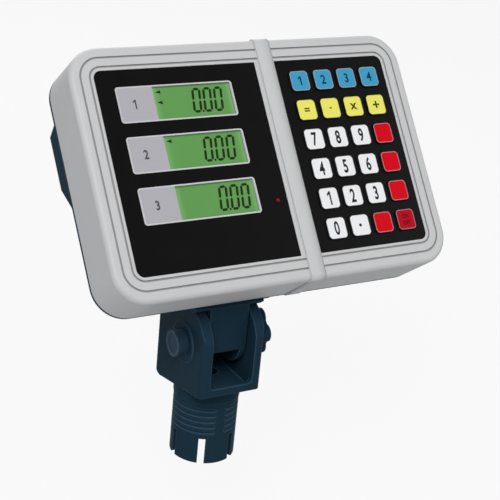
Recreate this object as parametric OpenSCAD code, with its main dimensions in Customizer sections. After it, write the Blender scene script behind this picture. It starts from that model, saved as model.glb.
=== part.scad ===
// Weighing indicator on a pole yoke: a tilting head with three displays and a 24-key pad.
// Origin: centre of the insert's lower end, on the pole axis. X right, Y back, Z up, millimetres.

/* [Head] */
// Width of the head across the front
head_w = 240; // [232:1:250]
// Height of the head along its face
head_h = 161; // [158:1:166]
// Corner radius of the head's outline
head_corner = 21; // [18:1:23]
// Depth of the light front housing, face to parting line
front_depth = 37; // [35:0.5:40]
// Wall of the front housing's sides
side_wall = 3; // [2.6:0.1:3.4]
// Wall of the face
face_wall = 3; // [2.8:0.1:3.4]
// Rounding of the face's outer edge
face_round = 3.5; // [2.5:0.5:4]
// Backward tilt of the face at rest, degrees
tilt_rest = 38; // [30:1:42]
// Head centre to the right of the pole axis
head_dx = 28.9; // [25:0.1:32]
// Hinge axis behind the face plane
hinge_w = 71.1; // [71:0.1:74]
// Hinge axis below the head's lower edge, along the face
hinge_under = 14.7; // [14.5:0.1:17]

/* [Divider and beading] */
// Width of the raised divider
ridge_w = 11; // [10:0.1:11.3]
// Divider to the keypad panel
ridge_gap_right = 0.8; // [0.5:0.1:1.2]
// Divider to the display panel
ridge_gap_left = 3.1; // [2.6:0.1:3.6]
// Height of the divider above the face
ridge_rise = 1; // [0.6:0.1:1.4]
// Width of each of the two grooves round the panels
groove_w = 1.1; // [0.8:0.1:1.4]
// Depth of those grooves
groove_d = 0.8; // [0.5:0.1:1]
// Inner groove, distance outside the panel
groove_in = 2; // [1.6:0.1:2.6]
// Outer groove, distance outside the panel
groove_out = 8; // [7:0.1:9]

/* [Panels] */
// Head's upper and lower edges to both black panels
panel_end = 16; // [15.5:0.1:17]
// Head's left side to the display panel
display_side = 15.3; // [14.9:0.1:16]
// Head's right side to the keypad panel
keypad_side = 15.7; // [15.2:0.1:16.2]
// Corner radius of the panels' outer corners
panel_corner = 5; // [4:0.5:6]
// Thickness of the panels
panel_t = 0.8; // [0.6:0.1:0.9]
// Depth of the pocket that a panel lies in
pocket_d = 1; // [1:0.1:1.2]
// Centre of the panels above the head's centre
panel_rise = 0.2; // [0:0.1:0.4]

/* [Displays] */
// Display panel's left side to the windows
window_side = 11.8; // [11.2:0.1:12.4]
// Windows to the display panel's right side
window_free = 19.8; // [19:0.1:21]
// Display panel's upper end to the top window
window_top = 11; // [10.5:0.1:11.5]
// Height of a display window
window_h = 23.2; // [22.6:0.1:24]
// Distance between display windows
window_pitch = 32.1; // [31.5:0.1:32.5]
// Corner radius of a window
window_corner = 2; // [1.5:0.1:2.4]
// Width of the label field left of a liquid crystal panel
label_w = 24.75; // [24:0.25:26]
// Window's right side to its liquid crystal panel
lcd_side = 1.75; // [1.5:0.05:2]
// Height of a liquid crystal panel
lcd_h = 20.9; // [20.2:0.1:21]
// Thickness of a liquid crystal panel
lcd_t = 3; // [2.9:0.1:3.2]

/* [Keys] */
// Width and height of a key
key_size = 14; // [13.4:0.1:14.4]
// Corner radius of a key
key_corner = 2.8; // [2.4:0.1:3]
// Distance between key columns
key_pitch_x = 18; // [17.8:0.1:18.3]
// Keypad panel's left side to the first column
key_side_left = 8.2; // [7.9:0.1:8.6]
// Last column to the keypad panel's right side
key_side_right = 6.3; // [6:0.1:6.8]
// Keypad panel's ends to the first and last rows
key_end = 7.5; // [7:0.1:8]
// Height of a key above the face
key_rise = 0.9; // [0.7:0.1:1.2]
// Travel of a key
key_travel = 0.5; // [0.4:0.05:0.6]
// Flange that keeps a key in, beyond its sides
key_flange = 1.2; // [1.1:0.1:1.4]
// Gap round a key in the face
key_gap = 0.4; // [0.35:0.05:0.5]

/* [Rear cover] */
// Depth of the dark rim behind the parting line
rim_t = 2.3; // [2.1:0.1:2.5]
// Depth of the hump behind the rim
hump_d = 23.2; // [22:0.1:24]
// Head's sides to the hump
hump_side = 5; // [4.5:0.5:8]
// Head's upper edge to the hump, where it leaves the rim
hump_up = 25.2; // [24.5:0.1:26.5]
// Height of the hump where it leaves the rim
hump_h = 77.2; // [76:0.1:78]
// Wall of the hump
hump_wall = 3; // [2.6:0.1:3.2]
// Width of the battery door
door_w = 116; // [114:1:120]
// Height of the battery door
door_h = 27; // [26.5:0.5:28]

/* [Pole yoke] */
// Radius of the insert that goes into the pole
insert_r = 21.7; // [21:0.1:21.7]
// Length of the insert up to the collar that rests on the pole
insert_l = 43.5; // [43:0.5:44]
// Wall of the insert
insert_wall = 4; // [3.5:0.1:4.5]
// Number of clamping slots in the insert, in opposite pairs
slot_pairs = 3; // [2:1:4]
// Width of a clamping slot
slot_w = 4.5; // [4:0.1:5]
// Height of a clamping slot
slot_h = 18.4; // [17:0.1:20]
// Height of the hinge axis above the insert's lower end
hinge_z = 85; // [84.5:0.5:87]
// Hinge axis in front of the pole axis
hinge_lead = 3.6; // [3.2:0.1:4]
// Half width of the yoke
yoke_half = 22.2; // [22.2:0.1:22.6]
// Thickness of an ear
ear_t = 7; // [6.8:0.1:7.4]
// Radius of the ears' tops about the hinge
ear_r = 29; // [28.4:0.1:29.6]
// Front of the yoke before the pole axis
yoke_front = 31; // [30.4:0.1:31.6]
// Back of the yoke behind the pole axis
yoke_back = 34.5; // [33.5:0.1:35]
// Radius of the yoke's upright edges
yoke_corner = 4; // [3:0.5:5]
// Upper side of the yoke's sill below the hinge
sill_drop = 23; // [22:0.5:23.5]
// Radius of the window's lower corners
sill_corner = 3; // [2:0.5:4]

/* [Hinge] */
// Radius of the hinge bolt
bolt_r = 5; // [4.8:0.1:5.2]
// Radius of the bolt's head
bolt_head_r = 8.6; // [8:0.1:9]
// Height of the bolt's head
bolt_head_h = 7.2; // [6.6:0.1:8]
// Radius of the round end of the bracket's tongue
tongue_r = 17.5; // [17:0.1:17.8]
// Lobes of the knob
knob_lobes = 5; // [5:1:7]
// Radius over the knob's lobes
knob_r = 15.7; // [15.2:0.1:16.2]
// Thickness of the knob
knob_t = 10.5; // [10:0.5:12]
// Running fit of a turning bore, on the radius
run_fit = 0.05; // [0.03:0.01:0.08]
// Gap between pieces that move past each other
move_gap = 0.3; // [0.3:0.05:0.4]

/* [Hidden] */
$fn = 48;
eps = 0.2;
fit = 0.15;
hinge_y = -hinge_lead;
hinge_drop = head_h / 2 + hinge_under;
back_w = front_depth + rim_t;
hump_back = back_w + hump_d;
navy = [0.13, 0.20, 0.27];
slate = [0.19, 0.28, 0.36];
shell = [0.80, 0.80, 0.80];
black = [0.06, 0.06, 0.07];
dark_grey = [0.16, 0.16, 0.18];
part_grey = [0.25, 0.25, 0.27];
silver = [0.75, 0.76, 0.78];
steel = [0.62, 0.63, 0.65];
brass = [0.72, 0.60, 0.32];
board = [0.10, 0.34, 0.22];
crystal = [0.39, 0.63, 0.33];
tint_blue = [0.21, 0.62, 0.82];
tint_yellow = [0.94, 0.91, 0.35];
tint_white = [0.93, 0.93, 0.93];
tint_red = [0.86, 0.05, 0.14];
tint_dark_red = [0.70, 0.04, 0.10];

// Key grid and panels, from the head's centre
key_cols = 4;
key_rows = 6;
panel_h = head_h - 2 * panel_end;
keypad_w = (key_cols - 1) * key_pitch_x + key_size + key_side_left + key_side_right;
keypad_x = head_w / 2 - keypad_side - keypad_w;
ridge_x = keypad_x - ridge_gap_right - ridge_w;
ridge_mid = ridge_x + ridge_w / 2;
display_x = -head_w / 2 + display_side;
display_w = ridge_x - ridge_gap_left - display_x;
key_x0 = keypad_x + key_side_left + key_size / 2;
key_z0 = panel_h / 2 - key_end - key_size / 2;
key_pitch_z = 2 * key_z0 / (key_rows - 1);

// Windows and crystals, from the head's centre
window_w = display_w - window_side - window_free;
window_x = display_x + window_side + window_w / 2;
window_z = panel_rise + panel_h / 2 - window_top - window_h / 2 - window_pitch;
lcd_w = window_w - label_w - lcd_side;
lcd_dx = (label_w - lcd_side) / 2;
lcd_gap = 0.4;

// Key layers, measured behind the face plane
key_flange_w0 = face_wall + move_gap;
key_flange_t = 1;
key_stub_r = 3;
key_stub_h = 0.7;
key_stub_end = key_flange_w0 + key_flange_t + key_stub_h;
dome_top = key_stub_end + key_travel + move_gap;
dome_t = 0.4;
dome_r = 4.5;
keyboard_w0 = dome_top + dome_t;
pcb_t = 1.6;
keyboard_left = 12;
keyboard_right = 9.5;
keyboard_end = 16;
keyboard_x0 = key_x0 - keyboard_left;
keyboard_x1 = key_x0 + (key_cols - 1) * key_pitch_x + keyboard_right;
keyboard_half_h = key_z0 + keyboard_end;
key_post_in = 6;
key_post_end = 3.5;
key_post_x = [keyboard_x0 + key_post_in, keyboard_x1 - key_post_in];
key_post_z = keyboard_half_h - key_post_end;

// Display layers, measured behind the face plane
bezel_proud = 0.1;
lcd_under = 0.2;
panel_w0 = pocket_d - panel_t;
bezel_w0 = panel_w0 - bezel_proud;
bezel_t = pocket_d - bezel_w0;
lcd_w0 = pocket_d - lcd_under;
lcdboard_w0 = lcd_w0 + lcd_t;
lcdboard_left = 6.7;
lcdboard_right = 6;
lcdboard_over = 8.3;
lcdboard_under = 12.3;
lcdboard_x0 = display_x + lcdboard_left;
lcdboard_x1 = ridge_x - lcdboard_right;
lcdboard_z0 = window_z - window_pitch - window_h / 2 - lcdboard_under;
lcdboard_z1 = window_z + window_pitch + window_h / 2 + lcdboard_over;
lcd_post_in = 3.5;
lcd_post_x = [lcdboard_x0 + lcd_post_in, lcdboard_x1 - lcd_post_in];
lcd_post_z = [lcdboard_z0 + lcd_post_in, lcdboard_z1 - lcd_post_in];
led_in = 7.3;
led_drop = 5.4;
led_r = 1.5;
led_x = display_x + display_w - led_in;
led_z = window_z - window_pitch - led_drop;

// Screws and bosses
boss_r = 4.2;
screw_r = 1.5;
screw_head_r = 3;
screw_head_h = 1.8;
screw_l = 12;
small_screw_r = 1;
small_head_r = 2.0;
small_head_h = 1.2;
small_screw_l = 3.6;
post_r = 3.2;
boss_in = 14;
boss_mid_in = 8;
boss_x = head_w / 2 - boss_in;
boss_z = head_h / 2 - boss_in;
boss_mid_z = head_h / 2 - boss_mid_in;

// Hump of the rear cover and its door
hump_run_low = 32.7;
hump_run_top = 9.4;
hump_w = head_w - 2 * hump_side;
hump_top = head_h / 2 - hump_up;
hump_low = hump_top - hump_h;
hump_flat_low = hump_low + hump_run_low;
hump_flat_top = hump_top - hump_run_top;
door_z = (hump_flat_low + hump_flat_top) / 2;
door_t = 2;
door_corner = 2;
ledge = 1.6;
ledge_end = 8;
door_screw_in = 4;
battery_gap_x = 1.5;
battery_gap_z = 0.4;
battery_gap_w = 5.1;
battery_w = door_w - 2 * (ledge_end + battery_gap_x);
battery_h = door_h - 2 * (ledge + battery_gap_z);
battery_d = hump_back - door_t - lcdboard_w0 - pcb_t - battery_gap_w;

// Main board, behind the keys and below the hump
mainboard_side = 24;
mainboard_w = 108;
mainboard_up = 6.1;
mainboard_h = 30;
mainboard_x1 = head_w / 2 - mainboard_side;
mainboard_x0 = mainboard_x1 - mainboard_w;
mainboard_z1 = hump_low - mainboard_up;
mainboard_z0 = mainboard_z1 - mainboard_h;
mainboard_in = 8;
mainboard_w0 = front_depth - mainboard_in;
main_post_in = 4;
main_post_x = [mainboard_x0 + main_post_in, mainboard_x1 - main_post_in];
main_post_z = [mainboard_z0 + main_post_in, mainboard_z1 - main_post_in];
cap_r = 5;
cap_h = 12;
cap_in = 52;
cap_gap = 2;
cap_x = [mainboard_x0 + cap_in, mainboard_x0 + cap_in + 2 * cap_r + cap_gap];
cap_z = (mainboard_z0 + mainboard_z1) / 2;
chip_in = 20;
chip_w = 14;
chip_t = 2;
chip_x = mainboard_x0 + chip_in;
chip_z = (mainboard_z0 + mainboard_z1 - chip_w) / 2;

// Sockets in the rear rim
gasket_w = 1.2;
gasket_t = 0.8;
gasket_free = 0.1;
inner_boss_h = 5;
gland_side = 60;
gland_up = 12.5;
gland_x = head_w / 2 - gland_side;
gland_z = -head_h / 2 + gland_up;
gland_r = 6;
gland_nut_r = 9;
gland_nut_t = 4;
gland_cap_r = 7.5;
gland_cap_t = 7;
gland_bore_r = 3.5;
jack_pitch = 26;
jack_x = gland_x + jack_pitch;
jack_r = 5.5;
jack_rim_r = 7;
jack_rim_t = 1.2;
jack_d = 11;
jack_bore_r = 3;
jack_bore_d = 9;
data_side = 35;
data_x = -head_w / 2 + data_side;
data_w = 17;
data_h = 8.5;
data_corner = 2;
data_flange_w = 30;
data_flange_h = 12.5;
data_shell_t = 4.5;

// Bracket, measured in the head's own frame but centred on the hinge across
bracket_half = 32;
bracket_h = 36.5;
bracket_t = 2.7;
bracket_low = -head_h / 2;
bracket_high = bracket_low + bracket_h;
block_half = 24.6;
block_under = 1.9;
block_low = bracket_low - block_under;
gusset_in = 4;
gusset_top = bracket_high - gusset_in;
washer_t = 1;
washer_r = 13;
slot_half = yoke_half - ear_t;
tongue_half = slot_half - washer_t - move_gap;
cheek_t = 4;
tongue_front_wall = 3;
swing_gap = 0.4;
swing_r = ear_r + swing_gap;
bracket_screw_in = 3.6;
bracket_screw_up = 9.5;
bracket_screw_pitch = 20;
bracket_screw_x = bracket_half - bracket_screw_in;
bracket_screw_z = [bracket_low + bracket_screw_up, bracket_low + bracket_screw_up + bracket_screw_pitch];
bracket_screw_l = 8;
hollow_up = 16;
hollow_low = 2.5;
gusset_y = 3.4;
gusset_z = 54.5;
gusset_a = atan2(gusset_z, gusset_y) - acos(tongue_r / norm([gusset_y, gusset_z]));

// Yoke
yoke_rise = 28.4;
heel_drop = 39.5;
collar_rise = 0.4;
relief_h = 0.5;
relief_d = 0.3;
roof_t = 6;
yoke_base_front = hinge_z - yoke_rise;
yoke_base_low = hinge_z - heel_drop;
insert_h = yoke_base_front;
sill_z = hinge_z - sill_drop;
bore_depth = insert_h - roof_t;
heel_r = 8;
base_slope = (yoke_base_front - yoke_base_low) / (yoke_front + yoke_back - heel_r);
pad_r = 14;
pad_t = 1;
rib_n = 5;
rib_pitch = 4.1;
rib_h = 2;
rib_d = 0.7;
rib_z = 22.2;
rib_span = 160;
rear_wall_t = 4;
rear_wall_drop = 2;
rear_wall_top = hinge_z - rear_wall_drop;
pocket_drop = 4;
wire_r = 6;
ear_back_rel = yoke_back + hinge_lead;
ear_back_a = acos(ear_r / ear_back_rel);
back_inset = 0.1;

// Knob
knob_x0 = yoke_half + pad_t + move_gap;
knob_turn = 43;
lobe_r = 6;
core_r = 12;
nut_r = 8;
nut_t = 7;
bolt_short = 2;
bolt_end = knob_x0 + knob_t - bolt_short;
dish_d = 0.8;
dish_rim = 1.3;

// Places a child drawn in the head's own frame: x across, y behind the face, z up the face
module head_frame()
  translate([head_dx, hinge_y, hinge_z])
    rotate([-tilt_rest, 0, 0])
      translate([0, -hinge_w, hinge_drop])
        children();

// The same frame, centred across on the hinge
module bracket_frame()
  head_frame()
    translate([-head_dx, 0, 0])
      children();

// Raises a flat outline from depth w0 to w0 + t behind the face
module plate(w0, t)
  translate([0, w0 + t, 0])
    rotate([90, 0, 0])
      linear_extrude(t)
        children();

// Raises an outline drawn as (depth, height) across, from x0 to x0 + t
module across(x0, t)
  translate([x0, 0, 0])
    rotate([90, 0, 90])
      linear_extrude(t)
        children();

// Round bar along the depth of the head
module pin(x, z, w0, t, r)
  translate([x, w0 + t, z])
    rotate([90, 0, 0])
      cylinder(r = r, h = t);

// Round bar across, at the hinge
module axle(x0, t, r)
  translate([x0, hinge_y, hinge_z])
    rotate([0, 90, 0])
      cylinder(r = r, h = t);

module rrect(l, h, r) {
  square([l, h - 2 * r], center = true);
  square([l - 2 * r, h], center = true);
  for (sx = [-1, 1], sz = [-1, 1])
    translate([sx * (l / 2 - r), sz * (h / 2 - r)])
      circle(r);
}

// Panel outline from its outer side xo, with round corners, to its square inner side xi
module side_panel(xo, xi, h, r)
  translate([(xo + xi) / 2, panel_rise]) {
    rrect(abs(xi - xo), h, r);
    translate([(xi - xo) / 4, 0])
      square([abs(xi - xo) / 2, h], center = true);
  }

module display_outline(g)
  side_panel(display_x - g, display_x + display_w + g, panel_h + 2 * g, panel_corner + g);

module keypad_outline(g)
  side_panel(keypad_x + keypad_w + g, keypad_x - g, panel_h + 2 * g, panel_corner + g);

// Groove that leaves a panel's outer side by g and runs in under the divider
module groove_outline(xo, s, g)
  difference() {
    side_panel(xo + s * (g + groove_w), ridge_mid, panel_h + 2 * (g + groove_w),
               panel_corner + g + groove_w);
    side_panel(xo + s * g, ridge_mid - s * groove_w, panel_h + 2 * g, panel_corner + g);
  }

// Section of a wall with one rounded outer corner: width r, depth d, rounding f
module edge_section(r, d, f) {
  translate([0, f])
    square([r, d - f]);
  square([r - f, d]);
  translate([r - f, f])
    circle(f);
}

// Rounded block, front edge rounded by f all the way round, front at depth 0
module soft_block(l, h, r, d, f)
  mirror([0, 1, 0])
    rotate([90, 0, 0]) {
      translate([0, 0, d / 2])
        cube([l - 2 * r, h - 2 * r, d], center = true);
      for (m = [0, 1])
        mirror([m, 0, 0])
          translate([l / 2 - r, h / 2 - r, 0])
            rotate([90, 0, 0])
              linear_extrude(h - 2 * r)
                edge_section(r, d, f);
      for (m = [0, 1])
        mirror([0, m, 0])
          rotate([0, 0, 90])
            translate([h / 2 - r, l / 2 - r, 0])
              rotate([90, 0, 0])
                linear_extrude(l - 2 * r)
                  edge_section(r, d, f);
      for (mx = [0, 1], mz = [0, 1])
        mirror([mx, 0, 0])
          mirror([0, mz, 0])
            translate([l / 2 - r, h / 2 - r, 0])
              rotate_extrude(angle = 90)
                edge_section(r, d, f);
    }

// Section of the divider: a band that wraps the face and both long sides
module ridge_section() {
  f = face_round + ridge_rise;
  hh = head_h / 2 + ridge_rise;
  translate([-ridge_rise, -hh + f])
    square([front_depth + ridge_rise, 2 * (hh - f)]);
  translate([-ridge_rise + f, -hh])
    square([front_depth + ridge_rise - f, 2 * hh]);
  for (s = [-1, 1])
    translate([-ridge_rise + f, s * (hh - f)])
      circle(f);
}

module key_outline(g)
  rrect(key_size + 2 * g, key_size + 2 * g, key_corner + g);

module at_key(c, r)
  translate([key_x0 + c * key_pitch_x, 0, key_z0 - r * key_pitch_z])
    children();

module at_window(i)
  translate([window_x, 0, window_z + (2 - i) * window_pitch])
    children();

// Places a child at each corner screw of the head
module at_bosses() {
  for (sx = [-1, 1], sz = [-1, 1])
    translate([sx * boss_x, 0, sz * boss_z])
      children();
  for (sz = [-1, 1])
    translate([ridge_mid, 0, sz * boss_mid_z])
      children();
}

// Light grey moulded front with the divider, the beading and the holes of the keys
module front_housing()
  color(shell)
    head_frame() {
      difference() {
        union() {
          difference() {
            soft_block(head_w, head_h, head_corner, front_depth, face_round);
            for (g = [groove_in, groove_out]) {
              plate(-eps, groove_d + eps)
                groove_outline(display_x, -1, g);
              plate(-eps, groove_d + eps)
                groove_outline(keypad_x + keypad_w, 1, g);
            }
          }
          across(ridge_x, ridge_w)
            ridge_section();
        }
        plate(face_wall, front_depth)
          rrect(head_w - 2 * side_wall, head_h - 2 * side_wall, head_corner - side_wall);
        plate(-ridge_rise - eps, pocket_d + ridge_rise + eps)
          display_outline(fit);
        plate(-ridge_rise - eps, pocket_d + ridge_rise + eps)
          keypad_outline(fit);
        for (i = [1:3])
          at_window(i)
            translate([lcd_dx, 0, 0])
              plate(0, face_wall + eps)
                square([lcd_w + 2 * lcd_gap, lcd_h + 2 * lcd_gap], center = true);
        for (c = [0:key_cols - 1], r = [0:key_rows - 1])
          at_key(c, r)
            plate(0, face_wall + eps)
              key_outline(key_gap);
        pin(led_x, led_z, 0, face_wall + eps, led_r + fit);
        plate(front_depth - gasket_t, gasket_t + eps)
          gasket_outline(fit);
      }
      difference() {
        at_bosses()
          pin(0, 0, face_wall, front_depth - face_wall, boss_r);
        at_bosses()
          pin(0, 0, back_w - screw_l, screw_l, screw_r + run_fit);
      }
      difference() {
        for (x = lcd_post_x, z = lcd_post_z)
          pin(x, z, face_wall, lcdboard_w0 - face_wall, post_r);
        for (x = lcd_post_x, z = lcd_post_z)
          pin(x, z, face_wall, lcdboard_w0, small_screw_r + run_fit);
      }
      difference() {
        for (x = key_post_x, s = [-1, 1])
          pin(x, s * key_post_z, face_wall, keyboard_w0 - face_wall, post_r);
        for (x = key_post_x, s = [-1, 1])
          pin(x, s * key_post_z, face_wall, keyboard_w0, small_screw_r + run_fit);
      }
    }

// Middle line of the housing's rim, with the gasket's width and a margin g on each side
module gasket_outline(g) {
  m = (side_wall - gasket_w) / 2 - g;
  n = (side_wall + gasket_w) / 2 + g;
  difference() {
    rrect(head_w - 2 * m, head_h - 2 * m, head_corner - m);
    rrect(head_w - 2 * n, head_h - 2 * n, head_corner - n);
  }
}

module gasket()
  color(black)
    head_frame()
      plate(front_depth - gasket_t, gasket_t - gasket_free)
        gasket_outline(0);

// Outline of the hump seen from the side, drawn as (depth, height), thinner by t
module hump_section(t, w0) {
  run_low = hump_flat_low - hump_low;
  run_top = hump_top - hump_flat_top;
  k_low = t * norm([run_low, hump_d]) / hump_d;
  k_top = t * norm([run_top, hump_d]) / hump_d;
  d_share = (hump_d - t) / hump_d;
  polygon([[w0, hump_low + k_low],
           [back_w, hump_low + k_low],
           [hump_back - t, hump_low + k_low + run_low * d_share],
           [hump_back - t, hump_top - k_top - run_top * d_share],
           [back_w, hump_top - k_top],
           [w0, hump_top - k_top]]);
}

// Dark rear cover with its battery hump
module rear_housing()
  color(navy)
    head_frame() {
      difference() {
        union() {
          plate(front_depth, rim_t)
            rrect(head_w, head_h, head_corner);
          across(-hump_w / 2, hump_w)
            hump_section(0, front_depth);
          for (s = [-1, 1], z = bracket_screw_z)
            pin(-head_dx + s * bracket_screw_x, z, front_depth - inner_boss_h, inner_boss_h + eps, boss_r);
          for (x = main_post_x, z = main_post_z)
            pin(x, z, mainboard_w0 + pcb_t, front_depth - mainboard_w0 - pcb_t + eps, post_r);
        }
        across(-hump_w / 2 + hump_wall, hump_w - 2 * hump_wall)
          hump_section(hump_wall, front_depth - eps);
        translate([0, 0, door_z]) {
          plate(hump_back - hump_wall - eps, hump_wall + 2 * eps)
            square([door_w - 2 * ledge_end, door_h - 2 * ledge], center = true);
          plate(hump_back - door_t, door_t + eps)
            rrect(door_w + 2 * fit, door_h + 2 * fit, door_corner);
        }
        for (s = [-1, 1])
          pin(s * (door_w / 2 - door_screw_in), door_z, hump_back - hump_wall - eps, hump_wall + eps,
              small_screw_r + run_fit);
        at_bosses()
          pin(0, 0, front_depth - eps, rim_t + 2 * eps, screw_r + run_fit);
        for (s = [-1, 1], z = bracket_screw_z)
          pin(-head_dx + s * bracket_screw_x, z, front_depth - inner_boss_h - eps,
              inner_boss_h + rim_t + 2 * eps, screw_r + run_fit);
        for (x = main_post_x, z = main_post_z)
          pin(x, z, mainboard_w0 - eps, small_screw_l + pcb_t, small_screw_r + run_fit);
        pin(gland_x, gland_z, front_depth - eps, rim_t + 2 * eps, gland_r + fit);
        pin(jack_x, gland_z, front_depth - eps, rim_t + 2 * eps, jack_r + fit);
        translate([data_x, 0, gland_z])
          plate(front_depth - eps, rim_t + 2 * eps)
            rrect(data_w + 2 * fit, data_h + 2 * fit, data_corner);
      }
    }

module battery_door()
  color(slate)
    head_frame()
      difference() {
        translate([0, 0, door_z])
          plate(hump_back - door_t, door_t)
            rrect(door_w, door_h, door_corner);
        for (s = [-1, 1])
          pin(s * (door_w / 2 - door_screw_in), door_z, hump_back - door_t - eps, door_t + 2 * eps,
              small_screw_r + run_fit);
      }

module door_screws()
  color(steel)
    head_frame()
      for (s = [-1, 1]) {
        pin(s * (door_w / 2 - door_screw_in), door_z, hump_back, small_head_h, small_head_r);
        pin(s * (door_w / 2 - door_screw_in), door_z, hump_back - hump_wall, hump_wall, small_screw_r);
      }

module battery()
  color(dark_grey)
    head_frame()
      translate([0, 0, door_z])
        plate(hump_back - door_t - battery_d, battery_d)
          square([battery_w, battery_h], center = true);

module display_panel()
  color(black)
    head_frame()
      difference() {
        plate(panel_w0, panel_t)
          display_outline(0);
        for (i = [1:3])
          at_window(i)
            plate(-eps, pocket_d + 2 * eps)
              rrect(window_w + 2 * fit, window_h + 2 * fit, window_corner);
        pin(led_x, led_z, -eps, pocket_d + 2 * eps, led_r + fit);
      }

module keypad_panel()
  color(black)
    head_frame()
      difference() {
        plate(panel_w0, panel_t)
          keypad_outline(0);
        for (c = [0:key_cols - 1], r = [0:key_rows - 1])
          at_key(c, r)
            plate(-eps, pocket_d + 2 * eps)
              key_outline(key_gap);
      }

// Silver window frame that lies in the panel, with its opening over the crystal
module window(i)
  color(silver)
    head_frame()
      at_window(i)
        plate(bezel_w0, bezel_t)
          difference() {
            rrect(window_w, window_h, window_corner);
            translate([lcd_dx, 0])
              square([lcd_w + lcd_gap, lcd_h + lcd_gap], center = true);
          }

module window_1()
  window(1);

module window_2()
  window(2);

module window_3()
  window(3);

// Liquid crystal panel on the display board
module lcd(i)
  color(crystal)
    head_frame()
      at_window(i)
        translate([lcd_dx, 0, 0])
          plate(lcd_w0, lcd_t)
            square([lcd_w, lcd_h], center = true);

module lcd_1()
  lcd(1);

module lcd_2()
  lcd(2);

module lcd_3()
  lcd(3);

module charge_lamp()
  color(tint_red)
    head_frame() {
      pin(led_x, led_z, 0, lcdboard_w0, led_r);
      translate([led_x, 0, led_z])
        sphere(led_r);
    }

// Board that carries the three crystals
module display_board()
  color(board)
    head_frame()
      difference() {
        translate([lcdboard_x0, lcdboard_w0, lcdboard_z0])
          cube([lcdboard_x1 - lcdboard_x0, pcb_t, lcdboard_z1 - lcdboard_z0]);
        for (x = lcd_post_x, z = lcd_post_z)
          pin(x, z, lcdboard_w0 - eps, pcb_t + 2 * eps, small_screw_r + run_fit);
      }

// Board behind the keys
module key_board()
  color(board)
    head_frame()
      difference() {
        translate([keyboard_x0, keyboard_w0, -keyboard_half_h])
          cube([keyboard_x1 - keyboard_x0, pcb_t, 2 * keyboard_half_h]);
        for (x = key_post_x, s = [-1, 1])
          pin(x, s * key_post_z, keyboard_w0 - eps, pcb_t + 2 * eps, small_screw_r + run_fit);
      }

// Snap domes on the key board, one behind each key
module dome_sheet()
  color(steel)
    head_frame()
      for (c = [0:key_cols - 1], r = [0:key_rows - 1])
        at_key(c, r)
          pin(0, 0, dome_top, dome_t, dome_r);

module main_board()
  color(board)
    head_frame()
      difference() {
        translate([mainboard_x0, mainboard_w0, mainboard_z0])
          cube([mainboard_x1 - mainboard_x0, pcb_t, mainboard_z1 - mainboard_z0]);
        for (x = main_post_x, z = main_post_z)
          pin(x, z, mainboard_w0 - eps, pcb_t + 2 * eps, small_screw_r + run_fit);
      }

// Parts that stand on the main board
module board_parts()
  color(part_grey)
    head_frame() {
      for (x = cap_x)
        pin(x, cap_z, mainboard_w0 - cap_h, cap_h, cap_r);
      translate([chip_x, mainboard_w0 - chip_t, chip_z])
        cube([chip_w, chip_t, chip_w]);
    }

module housing_screws()
  color(steel)
    head_frame()
      at_bosses() {
        pin(0, 0, back_w, screw_head_h, screw_head_r);
        pin(0, 0, back_w - screw_l, screw_l, screw_r);
      }

module board_screws()
  color(steel)
    head_frame() {
      for (x = lcd_post_x, z = lcd_post_z) {
        pin(x, z, lcdboard_w0 + pcb_t, small_head_h, small_head_r);
        pin(x, z, face_wall, lcdboard_w0 + pcb_t - face_wall, small_screw_r);
      }
      for (x = key_post_x, s = [-1, 1]) {
        pin(x, s * key_post_z, keyboard_w0 + pcb_t, small_head_h, small_head_r);
        pin(x, s * key_post_z, face_wall, keyboard_w0 + pcb_t - face_wall, small_screw_r);
      }
      for (x = main_post_x, z = main_post_z) {
        pin(x, z, mainboard_w0 - small_head_h, small_head_h, small_head_r);
        pin(x, z, mainboard_w0, small_screw_l, small_screw_r);
      }
    }

// Gland with a free bore, for the cord of the load cell
module cable_gland()
  color(black)
    head_frame()
      difference() {
        union() {
          pin(gland_x, gland_z, back_w, gland_nut_t, gland_nut_r);
          pin(gland_x, gland_z, back_w + gland_nut_t, gland_cap_t, gland_cap_r);
          pin(gland_x, gland_z, front_depth - gland_nut_t, gland_nut_t + rim_t, gland_r);
          pin(gland_x, gland_z, front_depth - gland_nut_t, gland_nut_t, gland_nut_r);
        }
        pin(gland_x, gland_z, front_depth - gland_nut_t - eps,
            2 * gland_nut_t + rim_t + gland_cap_t + 2 * eps, gland_bore_r);
      }

module power_socket()
  color(black)
    head_frame()
      difference() {
        union() {
          pin(jack_x, gland_z, back_w, jack_rim_t, jack_rim_r);
          pin(jack_x, gland_z, back_w - jack_d, jack_d, jack_r);
        }
        pin(jack_x, gland_z, back_w - jack_bore_d, jack_bore_d + jack_rim_t + eps, jack_bore_r);
      }

module data_socket()
  color(silver)
    head_frame()
      translate([data_x, 0, gland_z]) {
        plate(back_w, jack_rim_t)
          rrect(data_flange_w, data_flange_h, data_corner);
        plate(back_w - jack_d, jack_d)
          rrect(data_w, data_h, data_corner);
        plate(back_w + jack_rim_t, data_shell_t)
          difference() {
            rrect(data_w, data_h, data_corner);
            rrect(data_w - data_corner, data_h - data_corner, data_corner / 2);
          }
      }

// Side outline of the bracket's tongue, about the hinge, drawn in the level frame
module tongue_outline(reach)
  translate([hinge_w, -hinge_drop])
    rotate(tilt_rest) {
      circle(tongue_r);
      polygon([[-tongue_r, 0], [-tongue_r, reach], [gusset_y, gusset_z],
               [tongue_r * cos(gusset_a), tongue_r * sin(gusset_a)]]);
    }

// Side outline of the whole bracket behind the rear cover
module bracket_side()
  intersection() {
    tongue_outline(hinge_w);
    translate([back_w, -2 * hinge_drop])
      square([2 * hinge_drop, 2 * hinge_drop + gusset_top]);
  }

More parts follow.
